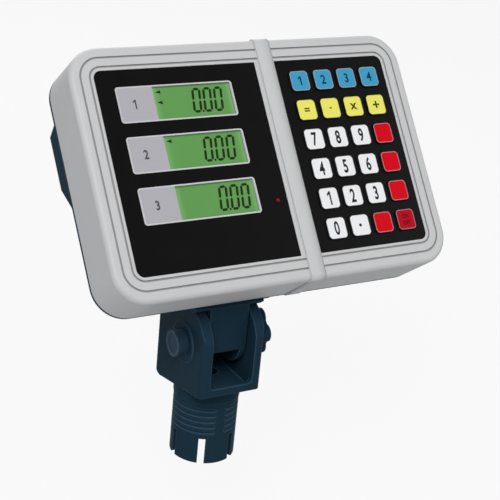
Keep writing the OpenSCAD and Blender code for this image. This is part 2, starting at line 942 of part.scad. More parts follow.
// Bracket on the rear cover: flange, gusset block cut clear of the ears, hollow tongue
module tilt_bracket()
  color(navy)
    bracket_frame()
      difference() {
        union() {
          plate(back_w, bracket_t)
            translate([0, (bracket_low + bracket_high) / 2])
              rrect(2 * bracket_half, bracket_high - bracket_low, bracket_t);
          difference() {
            across(-block_half, 2 * block_half)
              intersection() {
                bracket_side();
                translate([back_w, block_low])
                  square([hinge_w, gusset_top - block_low]);
              }
            translate([0, hinge_w, -hinge_drop])
              rotate([0, 90, 0])
                cylinder(r = swing_r, h = 2 * bracket_half, center = true);
          }
          across(-tongue_half, 2 * tongue_half)
            bracket_side();
        }
        translate([0, hinge_w, -hinge_drop])
          rotate([0, 90, 0])
            cylinder(r = bolt_r + run_fit, h = 2 * bracket_half, center = true);
        translate([0, hinge_w, -hinge_drop])
          rotate([tilt_rest, 0, 0])
            translate([-tongue_half + cheek_t, -tongue_r + tongue_front_wall, -2 * tongue_r])
              cube([2 * (tongue_half - cheek_t), 2 * tongue_r, 2 * tongue_r + hollow_up]);
        translate([0, hinge_w, -hinge_drop])
          rotate([tilt_rest, 0, 0])
            translate([-tongue_half + cheek_t, -2 * tongue_r, -2 * tongue_r])
              cube([2 * (tongue_half - cheek_t), 4 * tongue_r, 2 * tongue_r - hollow_low]);
        for (s = [-1, 1], z = bracket_screw_z)
          pin(s * bracket_screw_x, z, back_w - eps, bracket_t + 2 * eps, screw_r + run_fit);
      }

module bracket_screws()
  color(steel)
    bracket_frame()
      for (s = [-1, 1], z = bracket_screw_z) {
        pin(s * bracket_screw_x, z, back_w + bracket_t, screw_head_h, screw_head_r);
        pin(s * bracket_screw_x, z, back_w + bracket_t - bracket_screw_l, bracket_screw_l, screw_r);
      }

// Side outline of the yoke, drawn as (Y, Z): round ear tops, straight back, sloping underside
module yoke_side() {
  over = yoke_front + yoke_corner;
  back_pt = ear_r - back_inset;
  translate([hinge_y, hinge_z])
    circle(ear_r);
  polygon([[-over, yoke_base_front + yoke_corner * base_slope], [-over, hinge_z], [hinge_y, hinge_z],
           [hinge_y + back_pt * cos(ear_back_a), hinge_z + back_pt * sin(ear_back_a)],
           [yoke_back, hinge_z], [yoke_back, yoke_base_low + heel_r],
           [yoke_back - heel_r, yoke_base_low]]);
  translate([yoke_back - heel_r, yoke_base_low + heel_r])
    circle(heel_r);
}

// Front outline of the space between the ears, with round lower corners
module fork_outline() {
  translate([-slot_half, sill_z + sill_corner])
    square([2 * slot_half, hinge_z]);
  translate([-slot_half + sill_corner, sill_z])
    square([2 * (slot_half - sill_corner), hinge_z]);
  for (s = [-1, 1])
    translate([s * (slot_half - sill_corner), sill_z + sill_corner])
      circle(sill_corner);
}

// Pole insert with clamping slots and grip ribs, its collar, and the forked yoke above it
module pole_yoke()
  color(navy)
    difference() {
      union() {
        cylinder(r = insert_r, h = insert_l);
        cylinder(r = insert_r - relief_d, h = insert_h);
        translate([0, 0, insert_l + relief_h])
          cylinder(r = insert_r + collar_rise, h = insert_h - insert_l - relief_h);
        intersection() {
          across(-yoke_half, 2 * yoke_half)
            yoke_side();
          translate([0, (yoke_back - yoke_front) / 2, 0])
            linear_extrude(2 * hinge_z)
              rrect(2 * yoke_half, yoke_back + yoke_front, yoke_corner);
        }
        axle(-yoke_half - pad_t, pad_t + eps, pad_r);
        axle(yoke_half - eps, pad_t + eps, pad_r);
      }
      plate(-2 * yoke_front, 2 * yoke_front + yoke_back - rear_wall_t)
        fork_outline();
      translate([-slot_half, -2 * yoke_front, rear_wall_top])
        cube([2 * slot_half, 2 * yoke_front + 2 * yoke_back, hinge_z]);
      translate([-slot_half, -yoke_front + rear_wall_t, sill_z - pocket_drop])
        cube([2 * slot_half, yoke_front + yoke_back - 2 * rear_wall_t, pocket_drop + sill_corner]);
      translate([0, 0, -eps])
        cylinder(r = insert_r - insert_wall, h = bore_depth + eps);
      cylinder(r = wire_r, h = sill_z);
      axle(-2 * yoke_half, 4 * yoke_half, bolt_r + run_fit);
      for (i = [0:slot_pairs - 1])
        rotate([0, 0, i * 180 / slot_pairs])
          translate([0, 0, slot_h / 2 - eps / 2])
            cube([3 * insert_r, slot_w, slot_h + eps], center = true);
      for (i = [0:rib_n - 1], s = [0, 180])
        rotate([0, 0, s - rib_span / 2])
          rotate_extrude(angle = rib_span)
            translate([insert_r - rib_d, rib_z + i * rib_pitch])
              square([rib_d + eps, rib_h]);
    }

module hinge_bolt()
  color(slate)
    difference() {
      union() {
        axle(-yoke_half - pad_t - bolt_head_h, bolt_head_h, bolt_head_r);
        axle(-yoke_half - pad_t, bolt_end + yoke_half + pad_t, bolt_r);
      }
      axle(-yoke_half - pad_t - bolt_head_h - eps, dish_d + eps, bolt_head_r - dish_rim);
    }

// Friction washers between the ears and the tongue
module friction_washers()
  color(steel)
    for (x = [-slot_half, slot_half - washer_t])
      difference() {
        axle(x, washer_t, washer_r);
        axle(x - eps, washer_t + 2 * eps, bolt_r + run_fit);
      }

// Lobed clamping knob
module clamp_knob()
  color(navy)
    difference() {
      translate([knob_x0, hinge_y, hinge_z])
        rotate([0, 90, 0])
          linear_extrude(knob_t) {
            circle(core_r);
            for (i = [0:knob_lobes - 1])
              rotate(knob_turn + i * 360 / knob_lobes)
                translate([knob_r - lobe_r, 0])
                  circle(lobe_r);
          }
      axle(knob_x0 - eps, nut_t + eps, nut_r);
      axle(knob_x0, bolt_end - knob_x0 + move_gap, bolt_r + move_gap);
    }

module knob_nut()
  color(brass)
    difference() {
      axle(knob_x0, nut_t, nut_r);
      axle(knob_x0 - eps, nut_t + 2 * eps, bolt_r + run_fit);
    }

// A key: cap through the face, flange behind it, short stub towards its dome
module key(c, r, tint)
  color(tint)
    head_frame()
      at_key(c, r) {
        plate(-key_rise, key_flange_w0 + key_rise)
          key_outline(0);
        plate(key_flange_w0, key_flange_t)
          square(key_size + 2 * key_flange, center = true);
        pin(0, 0, key_flange_w0 + key_flange_t, key_stub_h, key_stub_r);
      }

module key_blue_1()
  key(0, 0, tint_blue);

module key_blue_2()
  key(1, 0, tint_blue);

module key_blue_3()
  key(2, 0, tint_blue);

module key_blue_4()
  key(3, 0, tint_blue);

module key_yellow_1()
  key(0, 1, tint_yellow);

module key_yellow_2()
  key(1, 1, tint_yellow);

module key_yellow_3()
  key(2, 1, tint_yellow);

module key_yellow_4()
  key(3, 1, tint_yellow);

module key_7()
  key(0, 2, tint_white);

module key_8()
  key(1, 2, tint_white);

module key_9()
  key(2, 2, tint_white);

module key_red_1()
  key(3, 2, tint_red);

module key_4()
  key(0, 3, tint_white);

module key_5()
  key(1, 3, tint_white);

module key_6()
  key(2, 3, tint_white);

module key_red_2()
  key(3, 3, tint_red);

module key_1()
  key(0, 4, tint_white);

module key_2()
  key(1, 4, tint_white);

module key_3()
  key(2, 4, tint_white);

module key_red_3()
  key(3, 4, tint_red);

module key_0()
  key(0, 5, tint_white);

module key_point()
  key(1, 5, tint_white);

module key_red_4()
  key(2, 5, tint_red);

module key_power()
  key(3, 5, tint_dark_red);

pole_yoke();
hinge_bolt();
friction_washers();
clamp_knob();
knob_nut();
front_housing();
rear_housing();
gasket();
display_panel();
keypad_panel();
window_1();
window_2();
window_3();
lcd_1();
lcd_2();
lcd_3();
charge_lamp();
display_board();
key_board();
dome_sheet();
main_board();
board_parts();
battery();
battery_door();
door_screws();
housing_screws();
board_screws();
tilt_bracket();
bracket_screws();
cable_gland();
power_socket();
data_socket();
key_blue_1();
key_blue_2();
key_blue_3();
key_blue_4();
key_yellow_1();
key_yellow_2();
key_yellow_3();
key_yellow_4();
key_7();
key_8();
key_9();
key_red_1();
key_4();
key_5();
key_6();
key_red_2();
key_1();
key_2();
key_3();
key_red_3();
key_0();
key_point();
key_red_4();
key_power();
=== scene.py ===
import math

import bpy
from mathutils import Matrix, Vector


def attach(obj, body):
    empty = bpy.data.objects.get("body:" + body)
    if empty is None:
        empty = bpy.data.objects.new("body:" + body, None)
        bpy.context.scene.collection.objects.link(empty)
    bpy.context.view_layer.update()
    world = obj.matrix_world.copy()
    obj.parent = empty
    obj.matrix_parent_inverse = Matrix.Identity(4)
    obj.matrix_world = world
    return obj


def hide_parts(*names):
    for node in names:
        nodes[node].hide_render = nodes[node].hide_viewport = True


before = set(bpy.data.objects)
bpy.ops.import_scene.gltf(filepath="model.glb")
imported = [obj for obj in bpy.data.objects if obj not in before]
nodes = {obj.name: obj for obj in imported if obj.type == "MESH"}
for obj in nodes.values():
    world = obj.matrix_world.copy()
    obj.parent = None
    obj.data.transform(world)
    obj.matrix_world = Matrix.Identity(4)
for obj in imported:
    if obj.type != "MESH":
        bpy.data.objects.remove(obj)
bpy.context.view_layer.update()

# Viewpoint: a long lens, left of the indicator and a little above it, looking down at the tilted face.
# Its place and turn follow from the rows of keys and windows.
LENS_MM = 95.54
SENSOR_MM = 36.0
FAR_CLIP = 20.0
VIEW_FROM = (-0.390178, -0.672434, 0.471831)
VIEW_AXES = Matrix(((0.867827, 0.116511, -0.483013),
                    (-0.488372, 0.378999, -0.786036),
                    (0.09148, 0.918033, 0.385806)))
long_lens = bpy.data.cameras.new("viewpoint")
long_lens.lens = LENS_MM
long_lens.sensor_width = SENSOR_MM
long_lens.clip_end = FAR_CLIP
viewpoint = bpy.data.objects.new("viewpoint", long_lens)
bpy.context.scene.collection.objects.link(viewpoint)
viewpoint.matrix_world = Matrix.Translation(VIEW_FROM) @ VIEW_AXES.to_4x4()
bpy.context.scene.camera = viewpoint
bpy.context.scene.view_settings.view_transform = "Standard"


# Studio: three large soft lamps, a white surround, and a plain pale floor well below the insert.
# The surround lights the object softly; only the camera and reflections see it as pure white.
class Recipe:
    """The shader nodes of one finish, of the surround or of the floor."""

    def __init__(self, owner):
        owner.use_nodes = True
        self.owner = owner
        self.tree = owner.node_tree
        self.tree.nodes.clear()

    def node(self, kind, settings=None, **inputs):
        """Adds a node: its settings first, then its sockets, by name or as i and a number."""
        made = self.tree.nodes.new("ShaderNode" + kind)
        for key, value in (settings or {}).items():
            setattr(made, key, value)
        for name, value in inputs.items():
            numbered = name[0] == "i" and name[1:].isdigit()
            self.feed(made.inputs[int(name[1:]) if numbered else name.replace("_", " ")], value)
        return made

    def feed(self, socket, value):
        if isinstance(value, Amount):
            value = value.socket
        if isinstance(value, bpy.types.NodeSocket):
            self.tree.links.new(value, socket)
        else:
            socket.default_value = value

    def math(self, operation, *values):
        made = self.node("Math", {"operation": operation})
        for socket, value in zip(made.inputs, values):
            self.feed(socket, value)
        return Amount(self, made.outputs[0])

    def mix(self, share, first, second):
        return self.node("Mix", {"data_type": "RGBA"}, i0=share, i6=first, i7=second).outputs[2]

    def blend(self, share, first, second):
        return self.node("MixShader", i0=share, i1=first.outputs[0], i2=second.outputs[0])

    def clouds(self, vector, scale, detail):
        """Noise from 0 to 1, with about as many blotches to the millimetre as its scale."""
        return Amount(self, self.node("TexNoise", Vector=vector, Scale=scale, Detail=detail).outputs[0])

    def relief(self, height, strength, distance, **under):
        """A normal raised by a height, over the normal in under if there is one."""
        return self.node("Bump", Height=height, Strength=strength, Distance=distance, **under).outputs[0]

    def finish(self, colour, **sockets):
        """Closes the recipe with one principled surface and gives back its material."""
        surface = self.node("BsdfPrincipled", Base_Color=colour, **sockets)
        self.node("OutputMaterial", i0=surface.outputs[0])
        return self.owner


class Amount:
    """A number that varies over the surface; operators add Math nodes."""

    def __init__(self, recipe, socket):
        self.recipe = recipe
        self.socket = socket

    def worked(self, operation, *others):
        return self.recipe.math(operation, self, *others)

    def __add__(self, other):
        return self.worked("ADD", other)

    __radd__ = __add__

    def __sub__(self, other):
        return self.worked("SUBTRACT", other)

    def __rsub__(self, other):
        return self.recipe.math("SUBTRACT", other, self)

    def __mul__(self, other):
        return self.worked("MULTIPLY", other)

    __rmul__ = __mul__

    def __truediv__(self, other):
        return self.worked("DIVIDE", other)

    def __abs__(self):
        return self.worked("ABSOLUTE")

    def over(self, other):
        return self.worked("GREATER_THAN", other)

    def under(self, other):
        return self.worked("LESS_THAN", other)

    def at_least(self, other):
        return self.worked("MAXIMUM", other)

    def at_most(self, other):
        return self.worked("MINIMUM", other)

    def clamped(self):
        return self.at_least(0.0).at_most(1.0)

    def from_nearest(self, pitch):
        """What is left beyond the nearest whole number of pitches."""
        return self - (self / pitch).worked("ROUND") * pitch


def rgb(*values):
    return (*values, 1.0)


def add_object(name, data):
    made = bpy.data.objects.new(name, data)
    bpy.context.scene.collection.objects.link(made)
    return made


FILL_LIGHT, FILL_STRENGTH = rgb(0.94, 0.96, 1.0), 0.30
PURE_WHITE = rgb(1.0, 1.0, 1.0)
surround = bpy.data.worlds.new("studio")
bpy.context.scene.world = surround
air = Recipe(surround)
rays = air.node("LightPath")
seen = Amount(air, rays.outputs["Is Camera Ray"]).at_least(Amount(air, rays.outputs["Is Glossy Ray"]))
seen = seen.at_least(Amount(air, rays.outputs["Is Transmission Ray"]))
fill = air.node("Background", Color=FILL_LIGHT, Strength=FILL_STRENGTH)
backdrop = air.node("Background", Color=PURE_WHITE, Strength=1.0)
air.node("OutputWorld", i0=air.blend(seen, fill, backdrop).outputs[0])

LAMP_WIDTH = 1.0
for name, place, target, watts in (("key_lamp", (-0.9, -1.1, 1.5), (0.0, 0.0, 0.18), 21.0),
                                   ("side_lamp", (1.3, -0.9, 0.9), (0.0, 0.0, 0.15), 4.6),
                                   ("back_lamp", (0.2, 1.4, 1.2), (0.0, 0.0, 0.18), 9.5)):
    softbox = bpy.data.lights.new(name, "AREA")
    softbox.shape = "DISK"
    softbox.size = LAMP_WIDTH
    softbox.energy = watts
    lamp = add_object(name, softbox)
    lamp.location = place
    lamp.rotation_euler = (Vector(target) - Vector(place)).to_track_quat("-Z", "Y").to_euler()

FLOOR_REACH, FLOOR_Z = 6.0, -0.09
PAPER_TONE = rgb(0.6, 0.6, 0.6)
PAPER_GLOW_SHARE = 0.9
paper = Recipe(bpy.data.materials.new("floor_paper"))
lit_paper = paper.node("BsdfDiffuse", Color=PAPER_TONE)
white_paper = paper.node("Emission", Color=PURE_WHITE, Strength=1.0)
to_camera = Amount(paper, paper.node("LightPath").outputs["Is Camera Ray"])
paper.node("OutputMaterial", i0=paper.blend(to_camera * PAPER_GLOW_SHARE, lit_paper, white_paper).outputs[0])
floor_sheet = bpy.data.meshes.new("floor")
floor_sheet.from_pydata([(x * FLOOR_REACH, y * FLOOR_REACH, FLOOR_Z)
                         for x, y in ((-1, -1), (1, -1), (1, 1), (-1, 1))], [], [(0, 1, 2, 3)])
floor_sheet.materials.append(paper.owner)
add_object("floor", floor_sheet)


# Front housing: one injection moulding in light grey ABS with a fine spark-eroded texture.
# Two beads run round its panels and a rounded divider parts them; the grooves are darkened with painted
# shade.
PER_METRE = 1000.0
TILT = math.radians(38.0)
HINGE_Y, HINGE_Z = -0.0036, 0.085
HEAD_ASIDE, HINGE_BEHIND_FACE, HINGE_BELOW_CENTRE = 0.0289, 0.0711, 0.0952
HEAD_SHIFT = Vector((-HEAD_ASIDE,
                     HINGE_BEHIND_FACE - HINGE_Y * math.cos(TILT) + HINGE_Z * math.sin(TILT),
                     -HINGE_BELOW_CENTRE - HINGE_Y * math.sin(TILT) - HINGE_Z * math.cos(TILT)))
BEADING_X, BEADING_Z = -0.2, 0.2
BEADING_HALF, BEADING_CORNER = (113.9, 73.9), 14.4
GROOVE_TOP = 0.12
GROOVE_SHADE, GROOVE_SHADE_SHARE = rgb(0.12, 0.12, 0.12), 0.55
DIVIDER_X, DIVIDER_HALF_SQUARED, DIVIDER_CROWN = 15.5, 30.0, 0.0018
MOULD_BLOTCHES, MOULD_SPECKS, MOULD_GRAIN = (0.03, 4.0), (2.5, 2.0), (1.4, 3.0)
GRAIN_STRENGTH, GRAIN_DEPTH = 0.35, 0.00005
EDGE_SAMPLES = 6


def head_vector(recipe):
    """A point in millimetres from the face's centre: across, behind the face and up the face."""
    coordinate = recipe.node("TexCoord").outputs["Object"]
    return recipe.node("Mapping", Vector=coordinate, Location=HEAD_SHIFT * PER_METRE,
                       Rotation=(TILT, 0.0, 0.0), Scale=(PER_METRE,) * 3).outputs[0]


def head_place(recipe, vector):
    split = recipe.node("SeparateXYZ", Vector=vector)
    return [Amount(recipe, socket) for socket in split.outputs[:3]]


def rounded_distance(x, z, half, corner):
    """Distance outside a rounded rectangle centred at the origin, less than zero inside it."""
    past_x = abs(x) - (half[0] - corner)
    past_z = abs(z) - (half[1] - corner)
    out_x, out_z = past_x.at_least(0.0), past_z.at_least(0.0)
    outside = (out_x * out_x + out_z * out_z).worked("SQRT")
    return outside + past_x.at_least(past_z).at_most(0.0) - corner


def moulded(name, colour, light, roughness, gloss, rounded=0.0006, face=False, edge_highlight=None):
    """Moulded plastic: faint blotches, fine grain and softened edges, with a painted highlight that makes
    rounded edges paler where a highlight colour is given.
    """
    recipe = Recipe(bpy.data.materials.new(name))
    vector = head_vector(recipe)
    blotches = recipe.clouds(vector, *MOULD_BLOTCHES)
    specks = recipe.clouds(vector, *MOULD_SPECKS)
    tone = recipe.mix(blotches * 0.7 + specks * 0.3, rgb(*colour), rgb(*light))
    soft = recipe.node("Bevel", {"samples": EDGE_SAMPLES}, Radius=rounded).outputs[0]
    if edge_highlight:
        # Painted highlight: where the softened normal turns away from the flat one, at rounded edges, the
        # colour is mixed towards a paler one.
        flat = recipe.node("NewGeometry").outputs["Normal"]
        turn = recipe.node("VectorMath", {"operation": "DOT_PRODUCT"}, i0=soft, i1=flat)
        highlight_share = ((1.0 - Amount(recipe, turn.outputs["Value"])) * 4.0).at_most(1.0)
        tone = recipe.mix(highlight_share * (0.5 + specks * 0.5), tone, rgb(*edge_highlight))
    if face:
        across, behind, up = head_place(recipe, vector)
        beading = rounded_distance(across - BEADING_X, up - BEADING_Z, BEADING_HALF, BEADING_CORNER)
        # Painted shade: the grooves inside the beading, deeper than its top, are darkened.
        tone = recipe.mix(behind.over(GROOVE_TOP) * beading.under(0.0) * GROOVE_SHADE_SHARE, tone, GROOVE_SHADE)
        off_middle = across - DIVIDER_X
        crown = (1.0 - off_middle * off_middle / DIVIDER_HALF_SQUARED).at_least(0.0)
        soft = recipe.relief(crown, 1.0, DIVIDER_CROWN, Normal=soft)
    grained = recipe.relief(recipe.clouds(vector, *MOULD_GRAIN), GRAIN_STRENGTH, GRAIN_DEPTH, Normal=soft)
    return recipe.finish(tone, Roughness=roughness + (specks - 0.5) * 0.12, Normal=grained,
                         Specular_IOR_Level=gloss)


def dress(node, material):
    mesh = nodes[node].data
    mesh.materials.clear()
    mesh.materials.append(material)


dress("front_housing", moulded("grey_shell", (0.61, 0.61, 0.61), (0.66, 0.66, 0.66), 0.45, 0.3,
                               rounded=0.0008, face=True))


# Front films: two near-black polyester films, satin, one round the windows and one round the keys.
# Each is cut to shape and glued into a shallow pocket of the housing.
FILM_HAZE, FILM_TOOTH = (0.05, 3.0), (6.0, 2.0)
film = Recipe(bpy.data.materials.new("black_film"))
vector = head_vector(film)
haze = film.clouds(vector, *FILM_HAZE)
tooth = film.relief(film.clouds(vector, *FILM_TOOTH), 0.15, 0.00003)
film.finish(film.mix(haze, rgb(0.001, 0.001, 0.001), rgb(0.003, 0.003, 0.003)),
            Roughness=haze * 0.15 + 0.3, Normal=tooth, Specular_IOR_Level=0.06)
dress("display_panel", film.owner)
dress("keypad_panel", film.owner)


# Display windows: one plastic insert each, snapped into the display film's openings.
# A silver line is printed round a pale grey field, and a small figure numbers each display.
WINDOW_X = -52.9
WINDOW_ROWS, WINDOW_PITCH = (42.1, 10.0, -22.1), 32.1
WINDOW_HALF, WINDOW_CORNER = (40.0, 11.6), 2.0
FRAME_LINE = 0.9
FIGURE_X, FIGURE_BEHIND = -82.0, 0.06
FIGURE_HEIGHT, FIGURE_SQUEEZE = 6.0, 0.8
PRINT_WEIGHT = 0.026
INK_PATCHES = (0.9, 3.0)
ONE_OUTLINE = ((0.13, 0.0), (0.27, 0.0), (0.27, 0.72), (0.17, 0.72), (-0.06, 0.58), (-0.06, 0.46),
               (0.13, 0.56))
ONE_FACES = ((0, 1, 2, 6), (2, 3, 4, 5, 6))
HEAD_PLACE = Matrix.Rotation(-TILT, 4, "X") @ Matrix.Translation(-HEAD_SHIFT)


def ink(name, dark, light):
    """Pad-printing ink, matt, a little uneven."""
    recipe = Recipe(bpy.data.materials.new(name))
    patches = recipe.clouds(head_vector(recipe), *INK_PATCHES)
    return recipe.finish(recipe.mix(patches, rgb(*dark), rgb(*light)), Roughness=patches * 0.15 + 0.4,
                         Specular_IOR_Level=0.04)


def on_face(x, z, behind):
    """Places a flat drawing in millimetres on a plane behind the face, at x across and z up."""
    return (HEAD_PLACE @ Matrix.Translation(Vector((x, behind, z)) / PER_METRE)
            @ Matrix.Rotation(math.radians(90.0), 4, "X") @ Matrix.Scale(1.0 / PER_METRE, 4))


def lettering(name, words, lines):
    """Figures and signs as a flat mesh; the figure 1 is drawn, with its flag and no foot."""
    if words == "1":
        mesh = bpy.data.meshes.new(name)
        mesh.from_pydata([(x, y, 0.0) for x, y in ONE_OUTLINE], [], ONE_FACES)
        return mesh
    curve = bpy.data.curves.new(name, "FONT")
    curve.body = words
    curve.size = 1.0
    curve.align_x = "CENTER"
    curve.align_y = "CENTER"
    curve.space_line = lines
    curve.offset = PRINT_WEIGHT
    curve.resolution_u = 4
    draft = add_object(name + "_draft", curve)
    bpy.context.view_layer.update()
    mesh = bpy.data.meshes.new_from_object(draft.evaluated_get(bpy.context.evaluated_depsgraph_get()))
    bpy.data.objects.remove(draft)
    mesh.name = name
    return mesh


def printed(name, words, x, z, behind, height, squeeze, material, body, lines=1.0):
    """Prints words centred on a point of the face, as tall as the height, narrowed by the squeeze."""
    mesh = lettering(name, words, lines)
    xs = [vertex.co.x for vertex in mesh.vertices]
    ys = [vertex.co.y for vertex in mesh.vertices]
    stretch = height / (max(ys) - min(ys))
    mesh.transform(Matrix.Translation((-(max(xs) + min(xs)) / 2, -(max(ys) + min(ys)) / 2, 0)))
    mesh.transform(Matrix.Diagonal((stretch * squeeze, stretch, 1.0, 1.0)))
    mesh.transform(on_face(x, z, behind))
    mesh.materials.clear()
    mesh.materials.append(material)
    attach(add_object(name, mesh), body)


window = Recipe(bpy.data.materials.new("window_print"))
vector = head_vector(window)
across, behind, up = head_place(window, vector)
window_z = (up - WINDOW_ROWS[1]).from_nearest(WINDOW_PITCH)
frame_line = rounded_distance(across - WINDOW_X, window_z, WINDOW_HALF, WINDOW_CORNER).over(-FRAME_LINE)
brushed = window.clouds(vector, 0.8, 3.0)
field = window.mix(brushed, rgb(0.45, 0.445, 0.475), rgb(0.49, 0.485, 0.515))
window.finish(window.mix(frame_line, field, rgb(0.58, 0.58, 0.59)),
              Roughness=brushed * 0.15 + 0.35, Metallic=frame_line * 0.3, Specular_IOR_Level=0.2)
grey_ink = ink("grey_ink", (0.07, 0.07, 0.075), (0.10, 0.10, 0.105))
for number, row_z in enumerate(WINDOW_ROWS, 1):
    dress("window_%d" % number, window.owner)
    printed("window_figure_%d" % number, str(number), FIGURE_X, row_z, FIGURE_BEHIND, FIGURE_HEIGHT,
            FIGURE_SQUEEZE, grey_ink, "head")


# Liquid crystals: green reflective panels lit from both ends, with a shadow under the window's upper
# edge. Their seven-segment digits and pointers are dark shapes that lie just under the glass.
CRYSTAL_X, CRYSTAL_LIT_FROM, CRYSTAL_LIT_OVER = -41.4, 21.5, 5.0
CRYSTAL_SHADE_FROM, CRYSTAL_SHADE_OVER, CRYSTAL_SHADE = 9.3, 0.9, 0.7
DIGIT_H, DIGIT_W, DIGIT_LEAN, DIGIT_RISE = 14.6, 4.6, 0.12, 0.2
DIGITS = 3
SEGMENT_HALF, SEGMENT_GAP, SEGMENT_BEHIND = 0.86, 0.20, 0.77
POINT_RADIUS, POINT_CORNERS = 0.75, 16
POINTER_X, POINTER_LENGTH, POINTER_HALF = -66.6, 3.6, 1.2


def segment(x0, y0, x1, y1):
    """A bar with pointed ends from one corner of the digit to the next."""
    length = math.hypot(x1 - x0, y1 - y0)
    ux, uy = (x1 - x0) / length, (y1 - y0) / length
    start, stop = SEGMENT_GAP, length - SEGMENT_GAP
    half = SEGMENT_HALF
    outline = ((start, 0.0), (start + half, -half), (stop - half, -half),
               (stop, 0.0), (stop - half, half), (start + half, half))
    return [(x0 + ux * a - uy * b, y0 + uy * a + ux * b) for a, b in outline]


def zero_digit(x):
    """The six outer segments of a leaning digit, with its lower left corner at x."""
    corners = ((0, 0), (DIGIT_W, 0), (DIGIT_W, DIGIT_H / 2),
               (DIGIT_W, DIGIT_H), (0, DIGIT_H), (0, DIGIT_H / 2))
    return [[(x + a + b * DIGIT_LEAN, b) for a, b in segment(*corner, *following)]
            for corner, following in zip(corners, corners[1:] + corners[:1])]


crystal = Recipe(bpy.data.materials.new("green_crystal"))
vector = head_vector(crystal)
across, behind, up = head_place(crystal, vector)
dots = crystal.clouds(vector, 5.0, 1.0)
tone = crystal.mix(crystal.clouds(vector, 0.03, 2.0) * 0.8 + dots * 0.2,
                   rgb(0.115, 0.330, 0.078), rgb(0.140, 0.370, 0.100))
crystal_z = (up - WINDOW_ROWS[1]).from_nearest(WINDOW_PITCH)
lit = ((abs(across - CRYSTAL_X) - CRYSTAL_LIT_FROM) / CRYSTAL_LIT_OVER).clamped()
shade = ((crystal_z - CRYSTAL_SHADE_FROM) / CRYSTAL_SHADE_OVER).clamped() * CRYSTAL_SHADE
tone = crystal.mix(shade, crystal.mix(lit * lit, tone, rgb(0.215, 0.47, 0.165)), rgb(0.05, 0.16, 0.04))
crystal.finish(tone, Roughness=dots * 0.05 + 0.2, Specular_IOR_Level=0.2)

segments = Recipe(bpy.data.materials.new("segment_ink"))
thin = segments.clouds(head_vector(segments), 1.0, 2.0)
segments.finish(segments.mix(thin, rgb(0.014, 0.030, 0.008), rgb(0.022, 0.044, 0.012)),
                Roughness=thin * 0.1 + 0.25, Specular_IOR_Level=0.04)
for number, first_x, pitch, pointer_drops in ((1, -42.6, 7.6, (-4.5, -11.3)),
                                              (2, -42.6, 7.9, (-4.3,)),
                                              (3, -40.1, 7.7, ())):
    dress("lcd_%d" % number, crystal.owner)
    outlines = [bar for k in range(DIGITS) for bar in zero_digit(k * pitch)]
    point_x = DIGIT_W + (pitch - DIGIT_W) / 2.0
    angles = [2.0 * math.pi * k / POINT_CORNERS for k in range(POINT_CORNERS)]
    outlines.append([(point_x + POINT_RADIUS * math.cos(a), POINT_RADIUS * math.sin(a)) for a in angles])
    for drop in pointer_drops:
        x, y = POINTER_X - first_x, WINDOW_HALF[1] + drop + DIGIT_H / 2.0 - DIGIT_RISE
        outlines.append([(x, y), (x + POINTER_LENGTH, y - POINTER_HALF),
                         (x + POINTER_LENGTH, y + POINTER_HALF)])
    points = [(x, y, 0.0) for outline in outlines for x, y in outline]
    faces = []
    for outline in outlines:
        first = faces[-1][-1] + 1 if faces else 0
        faces.append(list(range(first, first + len(outline))))
    mesh = bpy.data.meshes.new("segments_%d" % number)
    mesh.from_pydata(points, [], faces)
    mesh.transform(on_face(first_x, WINDOW_ROWS[number - 1] - DIGIT_H / 2.0 + DIGIT_RISE, SEGMENT_BEHIND))
    mesh.materials.append(segments.owner)
    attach(add_object("segments_%d" % number, mesh), "head")


# Charge lamp: a round light-emitting diode in clear red resin, pushed through the display film.
# Its tip is the part that glows.
LAMP_FRONT, LAMP_TIP = -1.5, 1.6
resin = Recipe(bpy.data.materials.new("lamp_resin"))
across, behind, up = head_place(resin, head_vector(resin))
tip = abs(behind - LAMP_FRONT).under(LAMP_TIP)
resin.finish(resin.mix(tip, rgb(0.12, 0.001, 0.003), rgb(0.19, 0.002, 0.005)), Roughness=0.25,
             Specular_IOR_Level=0.15)
dress("charge_lamp", resin.owner)


# Keys: moulded caps that stand a millimetre proud of the film, each guided in its own hole.
# A thin paler line is printed inside the cap's edge, and its figure or sign is pad-printed.
FIRST_KEY_X, FIRST_KEY_Z = 37.0, 50.0
KEY_PITCH_X, KEY_PITCH_Z = 18.0, 20.0
KEY_HALF, KEY_CORNER = (7.0, 7.0), 2.8
KEY_RING, KEY_SKIRT = 0.8, 0.3
KEY_ROUNDED = 0.0007
SKIRT_SHADE = rgb(0.012, 0.012, 0.012)
MARK_BEHIND = -0.93


def key_cap(name, colour, line_colour, line_share, gloss=0.06):
    recipe = Recipe(bpy.data.materials.new(name))
    vector = head_vector(recipe)
    across, behind, up = head_place(recipe, vector)
    edge = rounded_distance((across - FIRST_KEY_X).from_nearest(KEY_PITCH_X),
                            (up - FIRST_KEY_Z).from_nearest(KEY_PITCH_Z), KEY_HALF, KEY_CORNER)
    wear = recipe.clouds(vector, 0.25, 4.0)
    tone = recipe.mix(wear, rgb(*[share * 0.96 for share in colour]), rgb(*colour))
    tone = recipe.mix(edge.over(-KEY_RING) * line_share, tone, rgb(*line_colour))
    tone = recipe.mix(edge.over(-KEY_SKIRT), tone, SKIRT_SHADE)
    soft = recipe.node("Bevel", {"samples": EDGE_SAMPLES}, Radius=KEY_ROUNDED).outputs[0]
    grained = recipe.relief(recipe.clouds(vector, 3.0, 2.0), 0.2, 0.00003, Normal=soft)
    return recipe.finish(tone, Roughness=wear * 0.1 + 0.35, Normal=grained, Specular_IOR_Level=gloss)


